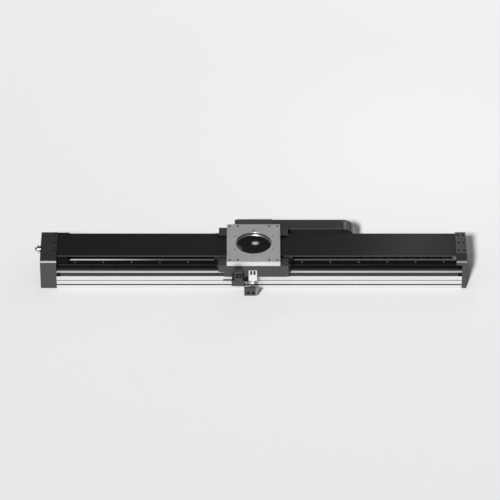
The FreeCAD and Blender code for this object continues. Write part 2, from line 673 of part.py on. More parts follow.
def make_chain():
    """Cable chain in three pieces, its tray and its two brackets."""
    front, back = s.chain_front, s.chain_front + s.chain_width
    top = s.chain_top
    centre_z = top - s.chain_radius
    floor = top - 2 * s.chain_radius
    inner_radius = s.chain_radius - s.chain_height
    pitch = (s.chain_bend_start - s.chain_end) / s.chain_link_count
    bevel = 1.2

    def link(low):
        high = low + s.chain_height
        outer = [
            (front + bevel, low), (back - bevel, low), (back, low + bevel), (back, high - bevel),
            (back - bevel, high), (front + bevel, high), (front, high - bevel), (front, low + bevel),
        ]
        wall = s.chain_wall
        return [outer, rectangle(front + wall, back - wall, low + wall, high - wall)]

    for name, low in (("chain_upper_run", top - s.chain_height), ("chain_lower_run", floor)):
        run = piece(name)
        start = s.chain_end
        first = add(run, "X", link(low), start, start + pitch - s.chain_link_gap)
        repeat(run, [first], "X", pitch, s.chain_link_count)

    bend = piece("chain_bend")
    start_x = s.chain_bend_start

    def sector(inner, outer, first, last):
        def spot(radius, angle):
            return (start_x + radius * math.cos(angle), centre_z + radius * math.sin(angle))
        return [
            spot(inner, first), spot(outer, first), spot(outer, last) + (outer,),
            spot(inner, last),
        ]

    step = math.pi / int(s.chain_bend_links.value)
    slit = s.chain_link_gap.value / s.chain_radius.value
    links = []
    for number in range(int(s.chain_bend_links.value)):
        first = -math.pi / 2 + number * step
        corners = sector(inner_radius, s.chain_radius, first, first + step - slit)
        corners[0] = corners[0] + (-inner_radius,)
        links.append(corners)
    add(bend, "Y", links, front, back)
    hollow_inner, hollow_outer = inner_radius + s.chain_wall, s.chain_radius - s.chain_wall
    hollow = [
        (start_x, centre_z - hollow_inner), (start_x, centre_z - hollow_outer),
        (start_x + hollow_outer, centre_z, hollow_outer), (start_x, centre_z + hollow_outer, hollow_outer),
        (start_x, centre_z + hollow_inner), (start_x + hollow_inner, centre_z, -hollow_inner),
    ]
    hollow[0] = hollow[0] + (-hollow_inner,)
    cut(bend, "Y", [hollow], front + s.chain_wall, back - s.chain_wall)

    tray_low = floor - s.tray_thickness
    wall = s.tray_thickness
    tray = piece("chain_tray")
    lip = back + 4
    outline = [
        (half_width, tray_low), (lip, tray_low), (lip, floor + 12), (lip - wall, floor + 12),
        (lip - wall, floor), (half_width + wall, floor), (half_width + wall, floor + 16),
        (half_width, floor + 16),
    ]
    add(tray, "X", [outline], s.tray_left, s.tray_right)
    rivets = piece("tray_rivets")
    first = add(rivets, "Y", [(s.tray_left + 21, s.upper_groove_height, 3.2)],
                half_width + wall, half_width + wall + 0.4)
    repeat(rivets, [first], "X", 100, 5)

    fixed = piece("chain_fixed_bracket")
    high = floor + s.chain_height
    outline = [
        (front, floor), (back, floor), (back, high), (back - 3, high), (back - 3, floor + 3),
        (front + 3, floor + 3), (front + 3, high), (front, high),
    ]
    add(fixed, "X", [outline], s.chain_end - 20, s.chain_end)

    moving = piece("chain_moving_bracket")
    left, right, edge, corner = s.chain_end, -s.chain_end, back - 1, 8
    back_face = s.rear_edge + s.bracket_sheet
    outline = [
        (left, s.rear_edge), (right, s.rear_edge), (right, edge), (left + corner, edge),
        (left, edge - corner, corner),
    ]
    add(moving, "Z", [outline], top, top + s.bracket_sheet)
    add(moving, "Z", [rectangle(left, right, s.rear_edge, back_face)], top, s.payload_low)
    screws = piece("chain_bracket_screws")
    spots = [(-24, 70), (24, 70)]
    add(screws, "Y", [(x, z, 2.8) for x, z in spots], back_face, back_face + 2.2)
    for x, z in spots:
        cut(screws, "Y", [hexagon(x, z, 1.5)], back_face + 0.9, back_face + 2.2)


def make_connectors():
    """Sockets and plugs carried on the front of the carriage."""
    face = -s.beam_front
    socket = piece("signal_socket")
    low, high = 32, 68
    left, right, front = -39.6, -23.7, -95.7
    outline = [
        (left - 6.4, low), (right + 4.2, low), (right + 4.2, low + 13), (right, low + 13), (right, high),
        (left, high), (left, low + 13), (left - 6.4, low + 13),
    ]
    add(socket, "Y", [outline], front, face)
    holes = [(x, z, 2.1) for x in (-34.2, -27.8) for z in (55.6, 62.1)]
    cut(socket, "Y", holes, front, front + 8)
    add(socket, "Y", [rectangle(-64, left - 6.4, 37.2, 39.8)], face - 2.5, face)
    add(socket, "Y", [rectangle(-45, -10.4, low + 1.5, s.beam_low)], face, face + s.beam_depth)
    knobs = piece("socket_screws")
    add(knobs, "Z", [(left - 3.4, -88, 2.6), (right + 2.6, -88, 1.6)], low + 13, low + 20)

    contacts = piece("plug_contacts")
    pins = [(x, z, r - 0.3) for x, z, r in holes]
    add(contacts, "Y", pins, front + 0.3, front + 7.6)

    plug = piece("power_plug")
    low, front, foot_front = 36.5, -83.5, -90
    add(plug, "Y", [rectangle(-10.2, 7.2, low, 63)], front, face)
    add(plug, "Y", [rectangle(-10.2, 7.2, low, s.beam_low)], front, face + s.beam_depth)
    foot = low - 3.6
    add(plug, "Y", [rectangle(-5.5, 1.7, foot, low)], foot_front, face)
    middles = [(x, z) for x in (-4.7, 2.3) for z in (54.8, 60)]
    cut(plug, "Y", [rectangle(x - 1.9, x + 1.9, z - 2.3, z + 2.3) for x, z in middles], front, front + 1.5)
    blades = [rectangle(x - 1.7, x + 1.7, z - 2.1, z + 2.1) for x, z in middles]
    add(contacts, "Y", blades, front + 0.3, front + 1.5)

    lower = piece("lower_plug")
    low, high, front, back = 3.3, 24.1, -91, -87.4
    add(lower, "Y", [rectangle(-19.6, 4.2, low, high)], front, back)
    sockets = [(-10.9, 10.7, 2.4), (-0.4, 10.7, 2.4)]
    cut(lower, "Y", sockets, front, front + 2.6)
    add(contacts, "Y", [(x, z, r - 0.3) for x, z, r in sockets], front + 0.3, front + 2.6)
    latch = piece("plug_latch")
    add(latch, "Y", [[(4.2, low + 0.6), (8.2, low + 0.6), (12.8, high - 1), (4.2, high - 1)]],
        front + 0.6, back - 0.6)

    # Two leads hang from the foot of the power plug, and one runs up beside the socket's flange.
    leads = piece("plug_leads")
    middle = (front + back) / 2
    add(leads, "Z", [(-4.3, middle, 1.1), (0.5, middle, 1.1)], high, foot)
    add(leads, "Z", [(right + 4.2 + 1.1, middle, 1.1)], high, foot + 3)


make_base()
make_rails()
top_of_magnets = make_magnets()
make_ends()
make_stops()
make_groove_strips()
make_carriage(top_of_magnets)
make_chain()
make_connectors()

doc.recompute()
for item in doc.Objects:
    if "Invalid" in item.State or "Touched" in item.State:
        raise RuntimeError("%s did not compute: %s" % (item.Label, item.State))
os.makedirs("parts", exist_ok=True)
for body in pieces:
    if body.Shape.isNull() or not body.Shape.isValid():
        raise RuntimeError(body.Label + " has no valid shape")
    body.Shape.exportStep("parts/%s.step" % body.Label)
    print(body.Label, len(body.Shape.Solids), round(body.Shape.Volume, 1))
print(len(pieces), "pieces written")
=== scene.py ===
import math

import bmesh
import bpy
from bpy.props import FloatProperty, FloatVectorProperty, IntProperty, PointerProperty
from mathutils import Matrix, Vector


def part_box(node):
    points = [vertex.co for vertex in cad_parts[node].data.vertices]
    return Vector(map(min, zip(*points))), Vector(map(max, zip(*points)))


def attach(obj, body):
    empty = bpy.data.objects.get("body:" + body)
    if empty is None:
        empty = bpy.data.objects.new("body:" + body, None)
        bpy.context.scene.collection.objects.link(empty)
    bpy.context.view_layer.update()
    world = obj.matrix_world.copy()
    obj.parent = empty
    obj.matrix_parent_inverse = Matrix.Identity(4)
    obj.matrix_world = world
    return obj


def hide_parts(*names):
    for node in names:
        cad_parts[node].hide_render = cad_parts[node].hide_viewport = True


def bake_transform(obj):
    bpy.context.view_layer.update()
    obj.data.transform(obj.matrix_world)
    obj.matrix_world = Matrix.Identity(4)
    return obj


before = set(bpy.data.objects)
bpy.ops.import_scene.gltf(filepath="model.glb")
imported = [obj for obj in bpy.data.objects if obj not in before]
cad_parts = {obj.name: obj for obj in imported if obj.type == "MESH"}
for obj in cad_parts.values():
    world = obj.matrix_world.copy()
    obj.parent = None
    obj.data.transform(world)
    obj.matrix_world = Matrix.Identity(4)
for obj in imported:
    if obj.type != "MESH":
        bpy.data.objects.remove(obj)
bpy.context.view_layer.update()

bl_info = {
    "name": "Linear Motor Stage",
    "version": (1, 0, 0),
    "blender": (4, 5, 0),
    "location": "View3D > Sidebar > Motor Stage",
    "description": "Dresses a covered linear motor stage and sets up its studio",
    "category": "Object",
}

MM = 0.001

# Edges sharper than this are broken, and corners closer than this count as one.
SHARP_EDGE = math.radians(40)
CORNER_GAP = 0.002 * MM

# Places where a finish changes: the plate's bore, the cover's sides, which carry a painted highlight, a
# depth just in front of the block under the beam, behind which shade is painted, and the stretch along
# which the tape of the encoder goes from a painted highlight to plain.
BORE_RADIUS = 38.5 * MM
COVER_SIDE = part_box("cover_strip")[1].y
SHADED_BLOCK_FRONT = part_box("front_beam")[0].y - 0.3 * MM
TAPE_HIGHLIGHT_FULL = -345 * MM
TAPE_HIGHLIGHT_NONE = -170 * MM

# Contact wells, into which shade is painted, in millimetres seen from the front: their middles across
# and up, and half their sizes.
SOCKET_WELLS = ((-34.2, -27.8), (55.6, 62.1), (2.6, 2.7))
LOWER_WELLS = ((-10.9, -0.4), (10.7,), (2.8, 2.6))
POWER_WELLS = ((-4.9, 2.1), (54.8, 60), (2.3, 2.5))

# What the lamps light, in metres.
CARRIAGE = Vector((0, 0, 0.05))
RIGHT_HALF = Vector((0.2, 0.08, 0.04))
COVER_RIGHT = Vector((0.37, 0, 0.07))
# Where they stand: azimuth and elevation in degrees, and metres away from the middle of the stage.
# The glow's are from what it lights.
KEY_STAND = (-15, 37, 5)
RIM_STAND = (183, 49, 3.2)
END_STAND = (151, 22, 2.5)
GLOW_STAND = (180, 36.5, 0.7)
# Widths of the soft lamps, in metres.
RIM_WIDTH = 0.39
END_WIDTH = 1.5
GLOW_WIDTH = 0.1


def linear(code):
    """Linear red, green and blue of an sRGB hex colour."""
    parts = [int(code[start:start + 2], 16) / 255 for start in (1, 3, 5)]
    return tuple(part / 12.92 if part <= 0.04045 else ((part + 0.055) / 1.055) ** 2.4 for part in parts)


def colour(name, description, code):
    """A colour that the user can change."""
    return FloatVectorProperty(name=name, description=description, subtype="COLOR",
                               min=0, max=1, default=linear(code))


def length(name, description, millimetres):
    """A size that the user can change."""
    return FloatProperty(name=name, description=description, unit="LENGTH",
                         min=0, default=millimetres * MM)


def power(name, description, watts):
    """The power of a lamp, which the user can change."""
    return FloatProperty(name=name, description=description, unit="POWER", min=0, default=watts)


class MotorColours(bpy.types.PropertyGroup):
    """Colours of the finishes."""

    aluminium: colour("Aluminium", "Clear anodised payload plate", "#F8F8F9")
    extrusion: colour("Extrusion", "Clear anodised base", "#DFDFE0")
    dark_anodised: colour("Dark anodised", "Ends, beams and saddle", "#575758")
    cover: colour("Cover", "Satin black cover strip", "#101011")
    # Paler sheared edge, also brightened as a painted highlight along the cover's sides.
    cover_edge: colour("Cover edge", "Sheared edge of the cover strip", "#4A4A4B")
    coat: colour("Sheet coat", "Coated tray and bracket of the chain", "#3A3A3B")
    rail: colour("Rail", "Black chromed rails, clamp strips, yoke and runner blocks", "#2F3032")
    tape: colour("Scale tape", "Etched steel tape of the encoder", "#747475")
    # Colour of the highlight that is painted on the left end of the tape.
    tape_highlight: colour("Bright tape", "Left end of the tape, which catches the light", "#F0F0F0")
    magnet: colour("Magnet coat", "Epoxy over the magnets", "#0E0E0F")
    steel: colour("Screw steel", "Heads of the rail screws", "#8C8D8F")
    oxide: colour("Black oxide", "Small screws, rivets and stop posts", "#4A4A4C")
    # Oxide darkened as painted shade, for screw heads deep in counterbores.
    shaded_oxide: colour("Sunk oxide", "Screw heads deep in their counterbores", "#121213")
    nickel: colour("Nickel", "Round socket on the left end", "#D6D3CC")
    chain: colour("Chain polyamide", "Links of the cable chain", "#242425")
    polyamide: colour("Polyamide", "Read head of the encoder", "#2A2A2B")
    plug: colour("Plug polyamide", "Dark socket and plug on the carriage", "#434344")
    # Near black of painted shade, for contact wells and threads where light doesn't reach.
    chamber: colour("Chamber", "Unlit contact wells and threads", "#0A0A0A")
    white: colour("White polyamide", "Power plug", "#D3D3D0")
    grey: colour("Grey polyamide", "Plug latch", "#707070")
    strip: colour("Side strip", "Grey strip along each side", "#262626")
    rubber: colour("Rubber", "Bumpers, stop block and seals", "#0B0B0B")
    resin: colour("Casting resin", "Coil pack of the forcer", "#23242A")
    gloss: colour("Gloss black", "Dish under the payload bore", "#040404")
    jacket: colour("Lead jacket", "Leads between the plugs", "#1E1312")


class MotorSizes(bpy.types.PropertyGroup):
    """Sizes of the details that are added to the solids."""

    edge_break: length("Edge break", "Width of the machined edge breaks", 0.45)
    links: IntProperty(name="Links", description="Links in each straight run of the chain",
                       min=2, default=14)
    link_slit: length("Link slit", "Gap that shows between two links", 0.5)
    link_neck: length("Link neck", "How far the neck of a link lies below its skin", 0.9)
    link_edge: length("Link edge", "Chamfer along the edges of a link", 0.5)
    hinge_radius: length("Hinge radius", "Radius of the hinge boss on a link's side", 4.2)
    hinge_height: length("Hinge height", "How far a hinge boss stands out from its link", 0.4)
    bend_gap: length("Bend gap", "Gap between the last neck of a run and the bend", 0.05)
    lead_radius: length("Lead radius", "Radius of the leads between the plugs", 1.1)
    lead_top: length("Leads, top", "Distance between the two leads under the power plug", 4.8)
    lead_foot: length("Leads, foot", "Distance between the two leads on the lower plug", 9)


class MotorStage(bpy.types.PropertyGroup):
    """Camera, floor and lights."""

    elevation: FloatProperty(name="Elevation", description="Camera height above the horizon",
                             subtype="ANGLE", default=math.radians(36.5))
    distance: length("Distance", "Camera to the point it looks at", 8470)
    lens: FloatProperty(name="Lens", description="Focal length", unit="CAMERA", default=288)
    aim: FloatVectorProperty(name="Aim", description="Point that the camera looks at",
                             subtype="TRANSLATION", unit="LENGTH",
                             default=(-7.4 * MM, -6.9 * MM, 60.9 * MM))
    floor: colour("Floor", "Paper under the stage", "#FAFAFA")
    key_strength: FloatProperty(name="Key", description="Strength of the main light", default=3.75)
    key_softness: FloatProperty(name="Key softness", description="Angle that the main light fills",
                                subtype="ANGLE", default=math.radians(7))
    sky: FloatProperty(name="Sky", description="Strength of the light from all round", default=0.11)
    rim_power: power("Rim light", "Power of the small light behind", 2.1)
    end_power: power("End light", "Power of the broad light behind the right end", 3.5)
    glow_power: power("Glow", "Power of the small light over the cover's right end", 0.2)


def add_node(tree, kind, links=None, **settings):
    """Adds a node. links gives each input a socket to join or a value to hold."""
    node = tree.nodes.new(kind)
    for name, value in settings.items():
        setattr(node, name, value)
    for name, value in (links or {}).items():
        socket = node.inputs[name]
        if isinstance(value, bpy.types.NodeSocket):
            tree.links.new(value, socket)
        else:
            socket.default_value = value
    return node


def start_material(name, **values):
    """A new material, its node tree and its shader. An underscore in a value's name is a space."""
    material = bpy.data.materials.new(name)
    material.use_nodes = True
    shader = material.node_tree.nodes["Principled BSDF"]
    for socket, value in values.items():
        shader.inputs[socket.replace("_", " ")].default_value = value
    return material, material.node_tree, shader


def vary(tree, shader, pattern, base, share, rough, spread, height):
    """Lets a pattern change the colour a little, the roughness and the height of a surface."""
    # The ramp spans the middle of the pattern, where most of its values lie.
    ramp = add_node(tree, "ShaderNodeValToRGB", {"Fac": pattern})
    dim, lit = ramp.color_ramp.elements
    dim.position = 0.3
    dim.color = tuple(part * (1 - share) for part in base) + (1,)
    lit.position = 0.7
    lit.color = tuple(min(1, part * (1 + share)) for part in base) + (1,)
    tree.links.new(ramp.outputs["Color"], shader.inputs["Base Color"])
    sheen = add_node(tree, "ShaderNodeMapRange",
                     {"Value": pattern, "To Min": rough - spread, "To Max": rough + spread})
    tree.links.new(sheen.outputs["Result"], shader.inputs["Roughness"])
    bump = add_node(tree, "ShaderNodeBump", {"Height": pattern, "Distance": height * MM})
    tree.links.new(bump.outputs["Normal"], shader.inputs["Normal"])


def drawn_metal(name, base, rough, line, metallic, share=0.05, height=0.002):
    """Metal with lines along the stage, as a die or a wheel leaves them; line is in millimetres."""
    material, tree, shader = start_material(name, Metallic=metallic)
    place = add_node(tree, "ShaderNodeTexCoord").outputs["Object"]
    # A real line is too fine to show, so it is drawn wider, and about 300 times as long as it is wide.
    width = line * MM
    stretch = add_node(tree, "ShaderNodeMapping",
                       {"Vector": place, "Scale": (1 / (300 * width), 1 / width, 1 / width)})
    lines = add_node(tree, "ShaderNodeTexNoise",
                     {"Vector": stretch.outputs["Vector"], "Scale": 1.0, "Detail": 3.0})
    vary(tree, shader, lines.outputs["Fac"], base, share, rough, spread=0.06, height=height)
    return material


def grained_surface(name, base, rough, grain, metallic=0.0, share=0.06, height=0.015, **values):
    """Surface with an even grain, as blasting, coating or a mould gives it; grain is in millimetres."""
    material, tree, shader = start_material(name, Metallic=metallic, **values)
    place = add_node(tree, "ShaderNodeTexCoord").outputs["Object"]
    # A real grain is too fine to show, so it is drawn coarser, with faint clouds about 25 grains wide.
    width = grain * MM
    fine = add_node(tree, "ShaderNodeTexNoise",
                    {"Vector": place, "Scale": 1 / width, "Detail": 4.0, "Roughness": 0.6})
    cloud = add_node(tree, "ShaderNodeTexNoise",
                     {"Vector": place, "Scale": 1 / (25 * width), "Detail": 2.0})
    both = add_node(tree, "ShaderNodeMix",
                    {"Factor": 0.3, "A": fine.outputs["Fac"], "B": cloud.outputs["Fac"]})
    vary(tree, shader, both.outputs["Result"], base, share, rough, spread=0.05, height=height)
    return material


def tint(material, base, mask):
    """Mixes another colour into a finish where a mask is 1."""
    # The colours of a Mix node share their names with other sockets, so they go by number.
    first, second, mixed = 6, 7, 2
    tree = material.node_tree
    shader = tree.nodes["Principled BSDF"]
    coat = shader.inputs["Base Color"].links[0].from_socket
    tone = add_node(tree, "ShaderNodeMix", {"Factor": mask, first: coat, second: tuple(base) + (1,)},
                    data_type="RGBA")
    tree.links.new(tone.outputs[mixed], shader.inputs["Base Color"])
    return material


def bare_edges_and_highlight(material, base, side):
    """Paints a paler bare edge where a sheet is sheared at both sides, which also stands for the
    highlight along it.
    """
    starts = side - 0.4 * MM
    full = side - 0.2 * MM
    tree = material.node_tree
    place = add_node(tree, "ShaderNodeTexCoord").outputs["Object"]
    across = add_node(tree, "ShaderNodeSeparateXYZ", {"Vector": place}).outputs["Y"]
    away = add_node(tree, "ShaderNodeMath", {0: across}, operation="ABSOLUTE").outputs[0]
    mask = add_node(tree, "ShaderNodeMapRange",
                    {"Value": away, "From Min": starts, "From Max": full}).outputs["Result"]
    return tint(material, base, mask)


def painted_end_highlight(material, base, full, none):
    """Paints a highlight on a tape at one end, from full at one place along the stage to none at
    another.
    """
    tree = material.node_tree
    place = add_node(tree, "ShaderNodeTexCoord").outputs["Object"]
    along = add_node(tree, "ShaderNodeSeparateXYZ", {"Vector": place}).outputs["X"]
    mask = add_node(tree, "ShaderNodeMapRange", {"Value": along, "From Min": none, "From Max": full},
                    interpolation_type="SMOOTHSTEP").outputs["Result"]
    return tint(material, base, mask)


def plate_thread_shade(material, base, box, bore, polish):
    """Paints shade into the threads of a plate, and makes its bore smoother by polish."""
    # Threads lie under the skin of the face, and keep this margin from the bore and the plate's sides.
    skin = 0.3 * MM
    margin = 1.0 * MM
    low, high = box
    half = (high - low) / 2
    tree = material.node_tree
    shader = tree.nodes["Principled BSDF"]
    place = add_node(tree, "ShaderNodeTexCoord").outputs["Object"]
    offset = add_node(tree, "ShaderNodeVectorMath", {0: place, 1: low + half},
                      operation="SUBTRACT").outputs[0]
    flat = add_node(tree, "ShaderNodeVectorMath", {0: offset, 1: (1, 1, 0)},
                    operation="MULTIPLY").outputs[0]
    radius = add_node(tree, "ShaderNodeVectorMath", {0: flat}, operation="LENGTH").outputs["Value"]
    turned = add_node(tree, "ShaderNodeMath", {0: radius, 1: bore + margin},
                      operation="LESS_THAN").outputs[0]
    blasted = shader.inputs["Roughness"].links[0].from_socket
    rough = add_node(tree, "ShaderNodeMath", {0: turned, 1: -polish, 2: blasted},
                     operation="MULTIPLY_ADD").outputs[0]
    tree.links.new(rough, shader.inputs["Roughness"])
    sides = add_node(tree, "ShaderNodeVectorMath", {0: flat}, operation="ABSOLUTE").outputs[0]
    away = add_node(tree, "ShaderNodeSeparateXYZ", {"Vector": sides}).outputs
    height = add_node(tree, "ShaderNodeSeparateXYZ", {"Vector": offset}).outputs["Z"]
    mask = add_node(tree, "ShaderNodeMath", {0: radius, 1: bore + margin},
                    operation="GREATER_THAN").outputs[0]
    for value, limit in ((away["X"], half.x - margin), (away["Y"], half.y - margin),
                         (height, half.z - skin)):
        inside = add_node(tree, "ShaderNodeMath", {0: value, 1: limit}, operation="LESS_THAN").outputs[0]
        mask = add_node(tree, "ShaderNodeMath", {0: mask, 1: inside}, operation="MULTIPLY").outputs[0]
    return tint(material, base, mask)


def painted_well_shade(material, base, groups, block=0.0):
    """Paints shade into groups of contact wells, seen from the front, and over all that lies behind a
    block's front.
    """
    # No plug reaches the middle of the stage, so only the wells get painted shade when no block is
    # given.
    tree = material.node_tree
    place = add_node(tree, "ShaderNodeTexCoord").outputs["Object"]
    depth = add_node(tree, "ShaderNodeSeparateXYZ", {"Vector": place}).outputs["Y"]
    mask = add_node(tree, "ShaderNodeMath", {0: depth, 1: block}, operation="GREATER_THAN").outputs[0]
    wells = [(x, z, half) for across, up, half in groups for x in across for z in up]
    for x, z, (half_x, half_z) in wells:
        offset = add_node(tree, "ShaderNodeVectorMath", {0: place, 1: (x * MM, 0, z * MM)},
                          operation="SUBTRACT").outputs[0]
        share = add_node(tree, "ShaderNodeVectorMath",
                         {0: offset, 1: (1 / (half_x * MM), 0, 1 / (half_z * MM))},
                         operation="MULTIPLY").outputs[0]
        sides = add_node(tree, "ShaderNodeVectorMath", {0: share}, operation="ABSOLUTE").outputs[0]
        away = add_node(tree, "ShaderNodeSeparateXYZ", {"Vector": sides}).outputs
        most = add_node(tree, "ShaderNodeMath", {0: away["X"], 1: away["Z"]},
                        operation="MAXIMUM").outputs[0]
        inside = add_node(tree, "ShaderNodeMath", {0: most, 1: 1.0}, operation="LESS_THAN").outputs[0]
        mask = add_node(tree, "ShaderNodeMath", {0: mask, 1: inside}, operation="MAXIMUM").outputs[0]
    return tint(material, base, mask)


def metal_finishes(colours):
    """The metals of the stage, by a short name."""
    blasted_plate = grained_surface("blasted_clear_anodised_aluminium", colours.aluminium, rough=0.45,
                                    grain=2.2, metallic=1.0, share=0.22, height=0.03)
    etched_tape = grained_surface("etched_steel_tape", colours.tape, rough=0.6, grain=0.8, metallic=0.2)
    return {
        # Extruded and clear anodised: silver, with faint die lines along the stage.
        "extrusion": drawn_metal("clear_anodised_extrusion", colours.extrusion, rough=0.5, line=1.4,
                                 metallic=0.6),
        # Milled, blasted and clear anodised: an even matt silver with a fine grit, shade painted into
        # the threads and a brighter bore, which is turned after the blasting.
        "plate": plate_thread_shade(blasted_plate, colours.chamber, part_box("payload_plate"), BORE_RADIUS,
                               polish=0.11),
        # Blasted and dark anodised: graphite with a soft metal sheen.
        "dark": grained_surface("dark_anodised_aluminium", colours.dark_anodised, rough=0.36, grain=1.8,
                                metallic=0.85, share=0.10, height=0.03),
        # Ground, then black chromed: dark steel with lines along the stage.
        "rail": drawn_metal("black_chromed_rail_steel", colours.rail, rough=0.2, line=1.0, metallic=0.7,
                            share=0.12),
        # Bare screw steel: a dull middle grey that stands out from the rail.
        "steel": grained_surface("bare_screw_steel", colours.steel, rough=0.42, grain=0.9, metallic=1.0),
        # Etched steel tape: a flat even grey, with a highlight painted on its left end.
        "tape": painted_end_highlight(etched_tape, colours.tape_highlight, TAPE_HIGHLIGHT_FULL, TAPE_HIGHLIGHT_NONE),
        # Black oxide on screw steel: dark and slightly oily.
        "oxide": grained_surface("black_oxide_screw_steel", colours.oxide, rough=0.34, grain=0.9,
                                 metallic=0.8),
        # The same oxide down in a counterbore, painted near black as shade, since little light reaches
        # it.
        "sunk": grained_surface("sunk_black_oxide_steel", colours.shaded_oxide, rough=0.7, grain=0.9,
                                Specular_IOR_Level=0.15),
        # Nickel plate: a warm bright mirror with faint waves.
        "nickel": grained_surface("nickel_plate", colours.nickel, rough=0.16, grain=2.0, metallic=1.0,
                                  share=0.03, height=0.008),
    }


def plastic_finishes(colours):
    """The coats, plastics and rubbers of the stage, by a short name."""
    satin_coat = grained_surface("satin_black_powder_coat", colours.cover, rough=0.42, grain=2.5,
                                 share=0.12, height=0.02, Specular_IOR_Level=0.32)
    plug_polyamide = grained_surface("moulded_plug_polyamide", colours.plug, rough=0.6, grain=0.9,
                                     share=0.12, height=0.03, Specular_IOR_Level=0.2)
    white_polyamide = grained_surface("moulded_white_polyamide", colours.white, rough=0.4, grain=1.2,
                                      share=0.02, height=0.01, IOR=1.53, Subsurface_Weight=0.08,
                                      Subsurface_Scale=2 * MM)
    return {
        # Powder coat on thin sheet: near black, with a low satin shine and paler sheared edges that also
        # carry a painted highlight.
        "cover": bare_edges_and_highlight(satin_coat, colours.cover_edge, COVER_SIDE),
        # The same coat on the folded sheets behind, a little paler.
        "coat": grained_surface("grey_powder_coat", colours.coat, rough=0.5, grain=2.5, share=0.12,
                                height=0.02, IOR=1.5),
        # Epoxy over sintered magnets: black with a dull shine.
        "magnet": grained_surface("black_epoxy_magnet_coat", colours.magnet, rough=0.5, grain=1.5,
                                  share=0.15, IOR=1.4),
        # Glass-filled polyamide from a textured mould: soft black.
        "polyamide": grained_surface("moulded_black_polyamide", colours.polyamide, rough=0.5, grain=0.9,
                                     share=0.12, height=0.03, IOR=1.53),
        # The same polyamide in the plugs, a shade paler, with shade painted into its wells and over the
        # part that lies back under the beam.
        "plug": painted_well_shade(plug_polyamide, colours.chamber, (SOCKET_WELLS, LOWER_WELLS), SHADED_BLOCK_FRONT),
        # The same polyamide in the chain, rubbed to a low shine by its own links.
        "chain": grained_surface("moulded_chain_polyamide", colours.chain, rough=0.32, grain=1.1,
                                 share=0.12, height=0.03, IOR=1.7),
        # Deep chambers round the contacts: near black, as painted shade where no light reaches.
        "chamber": grained_surface("black_contact_chamber", colours.chamber, rough=0.9, grain=0.6,
                                   share=0.2, Specular_IOR_Level=0.1),
        # Extruded strip, dark grey with a soft skin.
        "strip": grained_surface("extruded_grey_strip", colours.strip, rough=0.5, grain=1.2, share=0.08,
                                 IOR=1.5),
        # Unfilled polyamide: milky white, with a faint glow under its skin and shade painted into its
        # wells.
        "white": painted_well_shade(white_polyamide, colours.chamber, (POWER_WELLS,)),
        # Grey polyamide of the latch, moulded: a plain middle grey.
        "grey": grained_surface("moulded_grey_polyamide", colours.grey, rough=0.45, grain=1.0, IOR=1.53),
        # Nitrile rubber, moulded: dull black.
        "rubber": grained_surface("moulded_nitrile_rubber", colours.rubber, rough=0.8, grain=0.8,
                                  share=0.1, Specular_IOR_Level=0.15),
        # Filled resin cast round the coils: dark blue-grey, slightly glossy.
        "resin": grained_surface("cast_filled_resin", colours.resin, rough=0.35, grain=2.2, share=0.15,
                                 IOR=1.55),
        # Polished black plastic of the dish: deep black with clean bright reflections.
        "gloss": grained_surface("polished_black_plastic", colours.gloss, rough=0.1, grain=4.0,
                                 height=0.001, IOR=1.75),
        # Silicone jacket of the leads: soft dark red-brown.
        "jacket": grained_surface("silicone_lead_jacket", colours.jacket, rough=0.55, grain=0.7,
                                  share=0.12, IOR=1.43),
    }


FINISHES = {}


def finish_of(context, key):
    """One of the finishes, made once for the scene."""
    if not FINISHES:
        FINISHES.update(metal_finishes(context.scene.motor_colours))
        FINISHES.update(plastic_finishes(context.scene.motor_colours))
    return FINISHES[key]


def dress(context, key, names, edge=1.0):
    """Gives nodes their finish, and breaks their sharp edges by a share of the usual width."""
    material = finish_of(context, key)
    width = context.scene.motor_sizes.edge_break * edge
    for name in names:
        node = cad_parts[name]
        node.data.materials.clear()
        node.data.materials.append(material)
        if width:
            weld = node.modifiers.new("join_corners", "WELD")
            weld.merge_threshold = CORNER_GAP
            bevel = node.modifiers.new("edge_break", "BEVEL")
            bevel.width = width
            bevel.segments = 2
            bevel.limit_method = "ANGLE"
            bevel.angle_limit = SHARP_EDGE
            bevel.use_clamp_overlap = True
            bevel.harden_normals = True


def mesh_object(name, shape, material):
    """An object made from a shape in edit, which it uses up, with its finish."""
    mesh = bpy.data.meshes.new(name)
    shape.to_mesh(mesh)
    shape.free()
    mesh.materials.append(material)
    made = bpy.data.objects.new(name, mesh)
    bpy.context.scene.collection.objects.link(made)
    return made


def new_piece(name, shape, material):
    """A piece of its own, with a finish and its faces turned outwards."""
    bmesh.ops.recalc_face_normals(shape, faces=shape.faces)
    made = mesh_object(name, shape, material)
    return made


class MOTOR_OT_base(bpy.types.Operator):
    """Finish the extruded base and the strips in its grooves"""

    bl_idname = "motor.base"
    bl_label = "Base"

    def execute(self, context):
        dress(context, "extrusion", ["base_extrusion"])
        dress(context, "strip", ["front_groove_strip", "rear_groove_strip"], edge=0.5)
        dress(context, "rubber", ["groove_end_plugs", "front_slot_seals", "rear_slot_seals"], edge=0.4)
        return {"FINISHED"}


class MOTOR_OT_guide(bpy.types.Operator):
    """Finish the rails, their clamp strips and screws, and the encoder scale"""

    bl_idname = "motor.guide"
    bl_label = "Guide"

    def execute(self, context):
        dress(context, "rail", ["front_guide_rail", "rear_guide_rail"], edge=0)
        dress(context, "steel", ["front_rail_screws", "rear_rail_screws"], edge=0.5)
        dress(context, "tape", ["encoder_scale"], edge=0)
        dress(context, "rail", ["front_clamp_strip", "rear_clamp_strip"], edge=0)
        dress(context, "sunk", ["front_clamp_screws", "rear_clamp_screws"], edge=0)
        return {"FINISHED"}


class MOTOR_OT_drive(bpy.types.Operator):
    """Finish the magnet track, the coil pack and the read head"""

    bl_idname = "motor.drive"
    bl_label = "Drive"

    def execute(self, context):
        dress(context, "rail", ["magnet_yoke"])
        dress(context, "magnet", ["magnets"])
        dress(context, "oxide", ["yoke_screws"], edge=0.4)
        dress(context, "resin", ["forcer"])
        dress(context, "polyamide", ["encoder_read_head"])
        return {"FINISHED"}


